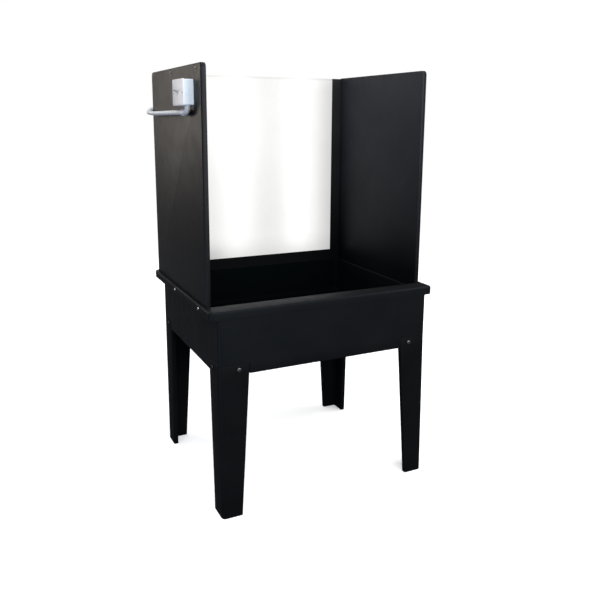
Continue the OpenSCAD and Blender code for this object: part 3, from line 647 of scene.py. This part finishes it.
def tank_mesh():
    """The sink: one skin of rings from the basin's floor over the lip and down the apron."""
    rings = []

    def ring(x, y0, y1, r, z):
        rings.append(rounded(-x, x, y0, y1, r, z))

    # basin floor and the round foot of its walls
    ring(300, 120, 470, 20, floor_z)
    cove = 22.0
    for deg in (0, 18, 36, 54, 72, 90):
        s, c = math.sin(math.radians(deg)), math.cos(math.radians(deg))
        inset = cove * (1 - s)
        ring(BASIN_X - inset, inset, BASIN_BACK - inset, 30 - inset * 0.6,
             lambda y, c=c: floor_z(y) + cove * (1 - c))
    # wall top, panel seat, upstand
    ring(BASIN_X, 0.0, BASIN_BACK, 30, SEAT - 4)
    ring(BASIN_X + 0.6, -0.1, BASIN_BACK + 0.6, 30, SEAT - 2)
    ring(BASIN_X + 2.0, -0.2, BASIN_BACK + 2.0, 28, SEAT - 0.4)
    ring(BASIN_X + 4.0, -0.3, BASIN_BACK + 4.0, 26, SEAT)
    ring(OUTER_X - 1.5, -0.4, PANEL_D + 1.5, 5, SEAT)
    ring(OUTER_X + 0.2, -0.5, PANEL_D + 3.0, 4, SEAT + 1.2)
    ring(OUTER_X + 0.6, -0.6, PANEL_D + 3.4, 4, SEAT + 3)
    ring(OUTER_X + 0.6, -0.7, PANEL_D + 3.4, 4, RIM - 3.0)
    ring(OUTER_X + 1.3, -1.6, PANEL_D + 4.1, 5, RIM - 1.2)
    ring(OUTER_X + 3.2, -4.0, PANEL_D + 5.6, 6, RIM)
    # lip top, rolled edge, underside
    roll = 6.5
    for deg in (0, 15, 30, 45, 60, 75, 90):
        s, c = math.sin(math.radians(deg)), math.cos(math.radians(deg))
        g = roll * (1 - s)
        ring(LIP_X - g, FRONT + g, LIP_BACK - g, 18 - g * 0.7, RIM - roll * (1 - c))
    ring(LIP_X, FRONT, LIP_BACK, 18, LIP_UNDER + 5)
    ring(LIP_X - 0.7, FRONT, LIP_BACK - 0.7, 17.6, LIP_UNDER + 2)
    ring(LIP_X - 3.0, FRONT, LIP_BACK - 3.0, 16, LIP_UNDER + 0.3)
    ring(LIP_X - 5.0, FRONT, LIP_BACK - 5.0, 15, LIP_UNDER)
    ring(APRON_X + 4.0, FRONT, APRON_BACK + 4.0, 14, LIP_UNDER)
    ring(APRON_X + 1.0, FRONT, APRON_BACK + 1.0, 14, LIP_UNDER - 1)
    ring(APRON_X, FRONT, APRON_BACK, 14, LIP_UNDER - 4)
    # apron, its lower edge, the inside up to the floor's underside
    ring(APRON_X, FRONT, APRON_BACK, 14, APRON_Z + 3)
    ring(APRON_X - 0.9, FRONT + 0.9, APRON_BACK - 0.9, 13.4, APRON_Z + 0.9)
    ring(APRON_X - 3, FRONT + 3, APRON_BACK - 3, 12, APRON_Z)
    ring(APRON_X - 5, FRONT + 5, APRON_BACK - 5, 11, APRON_Z)
    ring(APRON_X - 7.4, FRONT + 7.4, APRON_BACK - 7.4, 10, APRON_Z + 1.2)
    ring(APRON_X - WALL, FRONT + WALL, APRON_BACK - WALL, 9, APRON_Z + 4)
    ring(APRON_X - WALL, FRONT + WALL, APRON_BACK - WALL, 9, lambda y: floor_z(y) - 14)
    ring(APRON_X - 12, FRONT + 12, APRON_BACK - 12, 7, lambda y: floor_z(y) - 10)
    bm = bmesh.new()
    loft(bm, rings)
    bmesh.ops.recalc_face_normals(bm, faces=bm.faces)
    cutters = [pocket_cutter(sx, sy) for sx in (-1, 1) for sy in (-1, 1)]
    # the space under the front ledge, the drain's well and the boss round its hole
    hollow = rounded_block(-398, 398, -63.9, -8, 480, 727, 5, 3)
    m = frame_at(P(0, DRAIN_Y, PAD_Z), (0, 0, 1))
    sides = 64
    well = bmesh.new()
    lathe(well, [(DRAIN_R, -80), (DRAIN_R, 0), (49, 0), (51, 0.6), (52, 2.5), (52, 5.5),
                 (54, 8.5), (57, 11), (60, 30)], m, sides)
    bm = boolean_cut(bm, cutters + [hollow, well])
    extra = [pocket_liner(sx, sy) for sx in (-1, 1) for sy in (-1, 1)]
    boss = bmesh.new()
    turns = [2 * math.pi * k / sides for k in range(sides)]
    loft(boss, [[m @ Vector((r * math.cos(a) / 1000, r * math.sin(a) / 1000, z / 1000))
                 for a in turns]
                for r, z in ((DRAIN_R, -0.2), (DRAIN_R, -10), (59.2, -10), (60, -9.2), (60, -0.2),
                             (DRAIN_R, -0.2))], False, False)
    bmesh.ops.remove_doubles(boss, verts=boss.verts, dist=1e-6)
    return join([bm] + extra + [boss])


add("tank_moulding", tank_mesh(), "tank", ("tank",), sharp=32)

for sx, sy, node in ((1, -1, "leg_front_left"), (-1, -1, "leg_front_right"),
                     (1, 1, "leg_rear_left"), (-1, 1, "leg_rear_right")):
    add(node + "_moulded", leg_mesh(sx, sy), "leg", (node,), sharp=40)

# ---------- screws ----------

rng = random.Random(7)


def screw_set(name, places, material, node, r, h, shank, length, washer=0.0):
    """Pan head screws at places, each an origin and a direction; sizes in millimetres."""
    bm = bmesh.new()
    for origin, way in places:
        m = frame_at(origin, way, rng.uniform(0, math.pi))
        if washer:
            m = m @ Matrix.Translation((0, 0, WASHER_T))
        pan_head(bm, m, r, h, shank, length, washer)
    add(name, bm, material, (node,), sharp=38)


leg_places = []
for s in (-1, 1):
    leg_places += [(P(s * (APRON_X - HEAD_IN_X), FRONT - 0.6, HEAD_Z), (0, -1, 0)),
                   (P(s * (APRON_X - HEAD_IN_X), APRON_BACK, HEAD_Z), (0, 1, 0)),
                   (P(s * APRON_X, FRONT + HEAD_IN_Y, HEAD_Z), (s, 0, 0)),
                   (P(s * APRON_X, APRON_BACK - HEAD_IN_Y, HEAD_Z), (s, 0, 0))]
rim_places = [(P(s * LIP_X, y, RIM_SCREW_Z), (s, 0, 0)) for s in (-1, 1) for y in (45, 330)]
top_places = [(P(s * OUTER_X, y, TOP_SCREW_Z), (s, 0, 0)) for s in (-1, 1) for y in (53, 346, 598)]
screw_set("leg_screw_set", leg_places, "dark_steel", "leg_screws",
          r=7.5, h=4, shank=4, length=36)
screw_set("rim_screw_set", rim_places, "bright_steel", "rim_screws",
          r=5.5, h=3, shank=2.5, length=26)
screw_set("top_screw_set", top_places, "dull_steel", "top_screws",
          r=5, h=1.8, shank=2.5, length=13.8, washer=8)

# ---------- side panels ----------

def panel_mesh(s):
    """A side panel with round upper corners and eased edges, square at its foot."""
    bm = bmesh.new()
    r, y0, y1, z0, z1 = PANEL_CORNER, 0.5, PANEL_D, SEAT, PANEL_TOP
    pts = [(y0, z0), (y1, z0)]
    for cy, cz, a0 in ((y1 - r, z1 - r, 0), (y0 + r, z1 - r, 90)):
        for k in range(9):
            a = math.radians(a0 + 90 * k / 8)
            pts.append((cy + r * math.cos(a), cz + r * math.sin(a)))
    rings = [[P(s * x, y, z) for y, z in pts] for x in (INNER_X, OUTER_X)]
    loft(bm, rings)
    bmesh.ops.recalc_face_normals(bm, faces=bm.faces)
    low = (SEAT + 1) / 1000
    bevel(bm, PANEL_EASE, 5, 50.0, lambda e: max(v.co.z for v in e.verts) > low
          and abs(e.verts[0].co.x - e.verts[1].co.x) < 1e-5)
    return bm


add("left_panel_sheet", panel_mesh(-1), "panel", ("left_panel",), sharp=40)
add("right_panel_sheet", panel_mesh(1), "panel", ("right_panel",), sharp=40)

# ---------- translucent sheet ----------

lo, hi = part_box("diffuser_panel")
sheet = rounded_block((lo[0] - OX) * 1000, (hi[0] - OX) * 1000, (lo[1] - OY) * 1000,
                      (hi[1] - OY) * 1000, lo[2] * 1000, hi[2] * 1000, 1.2, 2)
add("diffuser_sheet", sheet, "diffuser", ("diffuser_panel",))

# ---------- switch box ----------

BOX_Y0, BOX_Y1, BOX_Z0, BOX_Z1 = 78.0, 197.0, 1390.0, 1472.0
BOX_FACE, COVER_FACE, PIVOT_X = -455.5, -461.5, -457.0
MID_Y, MID_Z = 137.5, 1431.0
COVER_OVER = 1.5                            # of the lid past the box, all round
OPEN_Y, OPEN_Z, OPEN_R = 5.5, 5.8, 1.2      # half sizes and corner radius of the toggle's opening
BOX_MID_X = -440.5


def plate_x(x0, x1, y0, y1, z0, z1, r, round_at_x0, n=8):
    """A rounded plate that stands along X; its x0 face has a soft edge."""
    e = round_at_x0
    bm = bmesh.new()
    rings = []

    def ring(x, g, rr):
        pts = []
        for cy, cz, a0 in ((y1 - g - rr, z1 - g - rr, 0), (y0 + g + rr, z1 - g - rr, 90),
                           (y0 + g + rr, z0 + g + rr, 180), (y1 - g - rr, z0 + g + rr, 270)):
            for k in range(n + 1):
                a = math.radians(a0 + 90 * k / n)
                pts.append(P(x, cy + rr * math.cos(a), cz + rr * math.sin(a)))
        rings.append(pts)

    ring(x1, 0, r)
    for deg in (90, 60, 30, 0):
        s, c = math.sin(math.radians(deg)), math.cos(math.radians(deg))
        ring(x0 + e * (1 - c), e * (1 - s), max(r - e * (1 - s), 0.6))
    loft(bm, rings)
    bmesh.ops.recalc_face_normals(bm, faces=bm.faces)
    return bm


box = plate_x(BOX_FACE, -OUTER_X, BOX_Y0, BOX_Y1, BOX_Z0, BOX_Z1, 5, 0.8)
knock = []                                  # round knockouts in the box's ends
for y, z, way in ((BOX_Y0, MID_Z, (0, -1, 0)), (BOX_Y1, MID_Z, (0, 1, 0))):
    k = bmesh.new()
    lathe(k, [(11.4, -0.6), (11.4, 0.05), (11.0, 0.3), (9.6, 0.3), (9.2, 0.05), (9.2, -0.6)],
          frame_at(P(BOX_MID_X, y, z), way), 40)
    knock.append(k)
add("switch_box_shell", join([box] + knock), "box", ("switch_box",))

cover = plate_x(COVER_FACE, BOX_FACE + 0.2, BOX_Y0 - COVER_OVER, BOX_Y1 + COVER_OVER,
                BOX_Z0 - COVER_OVER, BOX_Z1 + COVER_OVER, 6.5, 2.2)
slot_cut = rounded_block(COVER_FACE - 5, BOX_FACE + 5, MID_Y - OPEN_Y, MID_Y + OPEN_Y,
                         MID_Z - OPEN_Z, MID_Z + OPEN_Z, OPEN_R, 3)
cover = boolean_cut(cover, [slot_cut])
bezel = bmesh.new()
ring_pts = []
for g, x in ((2.2, 0.1), (2.2, -0.4), (1.6, -0.8), (0.6, -0.8), (0.2, -0.5), (0.1, 0.3)):
    pts = []
    hy, hz, r = OPEN_Y + g, OPEN_Z + g, OPEN_R + g
    for side_y, side_z, a0 in ((1, 1, 0), (-1, 1, 90), (-1, -1, 180), (1, -1, 270)):
        cy, cz = MID_Y + side_y * (hy - r), MID_Z + side_z * (hz - r)
        for k in range(5):
            a = math.radians(a0 + 90 * k / 4)
            pts.append(P(COVER_FACE + x, cy + r * math.cos(a), cz + r * math.sin(a)))
    ring_pts.append(pts)
loft(bezel, ring_pts, False, False)
add("switch_cover_plate", join([cover, bezel]), "cover", ("switch_cover",))
cover_places = [(P(COVER_FACE, y, MID_Z), (-1, 0, 0)) for y in (85, 190)]
screw_set("cover_screw_set", cover_places, "steel", "cover_screws",
          r=3.4, h=1.8, shank=1.6, length=20)


def lever_mesh():
    """The toggle, in its rest position: tilted up."""
    bm = bmesh.new()
    tilt = math.radians(25)
    way = Vector((-math.cos(tilt), 0, math.sin(tilt)))
    m = frame_at(P(PIVOT_X, MID_Y, MID_Z), way)
    lathe(bm, [(0.01, 0), (2.4, 0), (2.45, 3), (2.6, 6), (2.85, 9.5), (3.2, 13), (3.6, 16.1),
               (3.6, 17.4), (3.2, 18.8), (2.3, 19.7), (1.2, 20.0), (0.01, 20.05)], m, 28)
    return bm


def barrel_mesh():
    """The lever's barrel, which turns on the pin."""
    bm = bmesh.new()
    m = frame_at(P(PIVOT_X, MID_Y - 4.8, MID_Z), (0, 1, 0))
    lathe(bm, [(1.25, 0), (3.6, 0), (4.0, 0.4), (4.0, 9.2), (3.6, 9.6), (1.25, 9.6)], m, 36)
    return bm


add("switch_toggle", join([lever_mesh(), barrel_mesh()]), "lever",
    ("switch_lever",), body="lever")

# ---------- conduit and fittings ----------

FIT_X, FIT_Y, RUN_Z = -443.0, 94.0, 1367.0
BEND_R, BODY_L = 20, 15                     # of the elbow
REAR_X, REAR_Y, REAR_Z = -396, 634.5, RUN_Z + 16
START_Y = 151.0
route = [P(x, y, RUN_Z + up) for x, y, up in (
    (FIT_X, START_Y, 0), (FIT_X, 240, 0), (-444, 340, -1), (-445, 440, -2), (-446, 520, -2),
    (-447, 575, 0), (-446, 604, 2), (-439, 623, 7), (-427, 633, 13), (-418, REAR_Y, 16),
    (-414, REAR_Y, 16))]
RIB_R, RIB_DEPTH, RIB_PITCH = 0.0076, 0.00036, 0.0042


def ribbed(run, ang):
    """Radius of the conduit, with a shallow screw-shaped rib."""
    return RIB_R + RIB_DEPTH * math.sin(2 * math.pi * run / RIB_PITCH + ang)


bm = bmesh.new()
swept(bm, spline(route, 0.00095), ribbed, 18)
add("conduit_ribbed", bm, "conduit", ("conduit",), sharp=75)


def nut(bm, matrix, r, length, sides=8, ease=1.0):
    """A polygonal nut with eased ends; r is to the corners."""
    turns = [2 * math.pi * (s + 0.5) / sides for s in range(sides)]
    loft(bm, [[matrix @ Vector((r * k / 1000 * math.cos(a), r * k / 1000 * math.sin(a), h / 1000))
               for a in turns]
              for h, k in ((0, 0.93), (ease, 1.0), (length - ease, 1.0), (length, 0.93))])


bm = bmesh.new()
m = frame_at(P(FIT_X, FIT_Y, BOX_Z0), (0, 0, -1))
lathe(bm, [(0.01, -11), (7.6, -11), (8, -10.4), (8, 2)], m, 36)
lathe(bm, [(8, 0), (11.2, 0), (11.5, 0.4), (11.5, 2.6), (11.2, 3), (8, 3)], m, 36)
arc = []
for k in range(13):
    a = math.radians(90 * k / 12)
    arc.append(P(FIT_X, FIT_Y + BEND_R - BEND_R * math.cos(a),
                 BOX_Z0 - 3 - BEND_R * math.sin(a)))
swept(bm, arc, lambda run, ang: 0.009, 28, Vector((1, 0, 0)))
lathe(bm, [(8.8, -1), (9.3, 0), (9.5, 0.8), (9.5, 11.5), (11.0, 12.2), (11.2, 13), (11.2, 15.5)],
      frame_at(P(FIT_X, FIT_Y + BEND_R, RUN_Z), (0, 1, 0)), 36)
m = frame_at(P(FIT_X, FIT_Y + BEND_R + BODY_L, RUN_Z), (0, 1, 0))
nut(bm, m, 12.5, 16)
lathe(bm, [(10.6, 16), (11.0, 16.2), (10.8, 18.5), (9.8, 21), (8.6, 22), (7.8, 22)], m, 36)
add("elbow_fitting", bm, "fitting", ("elbow_connector",), sharp=30)

bm = bmesh.new()
m = frame_at(P(REAR_X, REAR_Y, REAR_Z), (-1, 0, 0))
lathe(bm, [(0.01, -7.5), (7.6, -7.5), (8, -7), (8, 1)], m, 36)
lathe(bm, [(8, 0), (11.2, 0), (11.5, 0.4), (11.5, 3.6), (11.2, 4)], m, 36)
nut(bm, m @ Matrix.Translation((0, 0, 0.004)), 11.5, 10)
lathe(bm, [(10.0, 14), (10.2, 14.3), (10.0, 16), (9.2, 17.6), (7.8, 18)], m, 36)
add("rear_fitting", bm, "fitting", ("rear_connector",), sharp=30)

# ---------- carried-over CAD pieces: finish and eased edges ----------

def dress(node, material, ease):
    """Gives a CAD node its material, and eased edges of that many millimetres."""
    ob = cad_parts[node]
    ob.data.materials.clear()
    ob.data.materials.append(M[material])
    if ease:
        d = ob.modifiers.new("flat", "DECIMATE")
        d.decimate_type = "DISSOLVE"
        d.angle_limit = math.radians(0.5)
        b = ob.modifiers.new("ease", "BEVEL")
        b.limit_method = "ANGLE"
        b.angle_limit = math.radians(40)
        b.width = ease / 1000
        b.segments = 2
        b.harden_normals = True


for node, material, ease in (
        ("leg_nuts", "steel", 0.4), ("left_channel", "trim", 0.5), ("right_channel", "trim", 0.5),
        ("bottom_channel", "trim", 0.5), ("channel_screws", "steel", 0),
        ("housing_left", "housing", 0.6), ("housing_right", "housing", 0.6),
        ("housing_top", "housing", 0.6), ("housing_bottom", "housing", 0.6),
        ("housing_screws", "steel", 0), ("rear_cover", "housing", 0.5),
        ("rear_cover_screws", "steel", 0), ("reflector", "white_paint", 0),
        ("lamp_left", "lamp", 0), ("lamp_middle", "lamp", 0), ("lamp_right", "lamp", 0),
        ("lamp_caps", "aluminium", 0.3), ("lamp_holders", "holder", 0.6),
        ("ballast", "grey_paint", 0.8), ("wireway_cover", "white_paint", 0.5),
        ("box_screws", "steel", 0), ("switch_body", "holder", 0.4), ("lever_pin", "steel", 0),
        ("elbow_locknut", "steel", 0.4), ("rear_locknut", "steel", 0.4),
        ("supply_gland", "fitting", 0.4), ("drain_body", "drain", 0.5),
        ("drain_gasket", "rubber", 0.3), ("drain_locknut", "drain", 0.8),
        ("drain_tailpiece", "drain", 0.4), ("slip_nut", "drain", 0.8),
        ("drain_strainer", "strainer", 0.2)):
    dress(node, material, ease)

# ---------- stage, light and camera; from here on everything is in metres ----------

FLOOR_HALF = 40.0
bm = bmesh.new()
bm.faces.new([bm.verts.new((x * FLOOR_HALF, y * FLOOR_HALF, FLOOR_Z))
              for x, y in ((-1, -1), (1, -1), (1, 1), (-1, 1))])
me = bpy.data.meshes.new("floor")
bm.to_mesh(me)
bm.free()
floor = bpy.data.objects.new("floor", me)
scene.collection.objects.link(floor)
fm, n, links, b = new_material("pale_floor")
c = n.new("ShaderNodeTexCoord")
t = noise(n, links, c, 0.8, 3, 0.5)
mix = n.new("ShaderNodeMix")
mix.data_type = "RGBA"
mix.inputs["A"].default_value = (0.86, 0.86, 0.86, 1)
mix.inputs["B"].default_value = (0.875, 0.875, 0.875, 1)
links.new(t.outputs["Fac"], mix.inputs["Factor"])
links.new(mix.outputs["Result"], b.inputs["Base Color"])
b.inputs["Roughness"].default_value = 0.9
b.inputs["Specular IOR Level"].default_value = 0.1
b.inputs["Emission Color"].default_value = (1, 1, 1, 1)
b.inputs["Emission Strength"].default_value = 0.38
# the camera sees a pale floor; the light that the floor sends up to the object is dim
dim = n.new("ShaderNodeBsdfDiffuse")
dim.inputs["Color"].default_value = (0.10, 0.105, 0.115, 1)
lp = n.new("ShaderNodeLightPath")
pick = n.new("ShaderNodeMixShader")
links.new(lp.outputs["Is Camera Ray"], pick.inputs["Fac"])
links.new(dim.outputs["BSDF"], pick.inputs[1])
links.new(b.outputs["BSDF"], pick.inputs[2])
links.new(pick.outputs["Shader"], n["Material Output"].inputs["Surface"])
me.materials.append(fm)

world = bpy.data.worlds.new("studio")
scene.world = world
world.use_nodes = True
wn, wl = world.node_tree.nodes, world.node_tree.links
bg = wn["Background"]
bg.inputs["Color"].default_value = (0.84, 0.92, 1.0, 1)
bg.inputs["Strength"].default_value = 0.07
# the same for the world: white behind the object, a dim cool light on it
seen = wn.new("ShaderNodeBackground")
seen.inputs["Color"].default_value = (1, 1, 1, 1)
seen.inputs["Strength"].default_value = 1.0
path = wn.new("ShaderNodeLightPath")
mixs = wn.new("ShaderNodeMixShader")
wl.new(path.outputs["Is Camera Ray"], mixs.inputs["Fac"])
wl.new(bg.outputs["Background"], mixs.inputs[1])
wl.new(seen.outputs["Background"], mixs.inputs[2])
wl.new(mixs.outputs["Shader"], wn["World Output"].inputs["Surface"])


def area(name, place, target, size, power, colour, size_y=None):
    """A rectangular light at place that looks at target, unseen by the camera; power in watts."""
    d = bpy.data.lights.new(name, "AREA")
    d.shape = "RECTANGLE"
    d.size = size
    d.size_y = size_y or size
    d.energy = power
    d.color = colour
    o = bpy.data.objects.new(name, d)
    scene.collection.objects.link(o)
    o.location = place
    o.rotation_mode = "QUATERNION"
    o.rotation_quaternion = (Vector(target) - Vector(place)).to_track_quat("-Z", "Y")
    o.visible_camera = False


# a broad soft sun from above, and area lights: name, place, target, size, power, colour, height
sun = bpy.data.lights.new("overhead", "SUN")
sun.energy = 2.2
sun.angle = math.radians(75)
sun_ob = bpy.data.objects.new("overhead", sun)
scene.collection.objects.link(sun_ob)
sun_ob.rotation_euler = (math.radians(8), math.radians(-6), 0)
area("left_high", (-2.2, 3.2, 1.95), (-0.45, 0.2, 1.15), 1.2, 33, (1.0, 0.91, 0.82), 1.9)
area("front_soft", (-1.2, -3.4, 2.6), (0, 0, 0.9), 2.2, 78, (0.93, 0.97, 1.0))
area("front_right", (0.75, -3.2, 1.75), (-0.3, 0, 1.2), 1.2, 50, (1.0, 0.98, 0.96))
area("right_fill", (3.1, -0.4, 2.0), (0.4, 0.0, 0.9), 2.0, 60, (0.96, 0.98, 1.0))
area("floor_left", (-1.7, -0.8, 0.12), (-0.42, 0.0, 0.55), 0.8, 9, (0.72, 0.88, 1.25))
area("back_fill", (0.9, 3.9, 1.9), (0.2, 0.3, 1.0), 1.7, 34, (0.97, 0.98, 1.0))

CAM_PLACE = P(-1090.0, -2077.2, 1356.9)
CAM_YAW, CAM_PITCH, CAM_ROLL = math.radians(25.69), math.radians(11.57), math.radians(0.29)
cam_data = bpy.data.cameras.new("camera")
cam = bpy.data.objects.new("camera", cam_data)
scene.collection.objects.link(cam)
scene.camera = cam
cam_data.sensor_width = 36.0
cam_data.lens = 40.668
cam_data.shift_y = -0.075
cam_data.clip_end = 200
cam.location = CAM_PLACE
fwd = Vector((math.sin(CAM_YAW) * math.cos(CAM_PITCH), math.cos(CAM_YAW) * math.cos(CAM_PITCH),
              -math.sin(CAM_PITCH)))
level_right = Vector((math.cos(CAM_YAW), -math.sin(CAM_YAW), 0))
level_up = level_right.cross(fwd)
right = level_right * math.cos(CAM_ROLL) + level_up * math.sin(CAM_ROLL)
up = level_up * math.cos(CAM_ROLL) - level_right * math.sin(CAM_ROLL)
cam.rotation_mode = "QUATERNION"
cam.rotation_quaternion = Matrix((right, up, -fwd)).transposed().to_quaternion()

scene.view_settings.view_transform = "Standard"
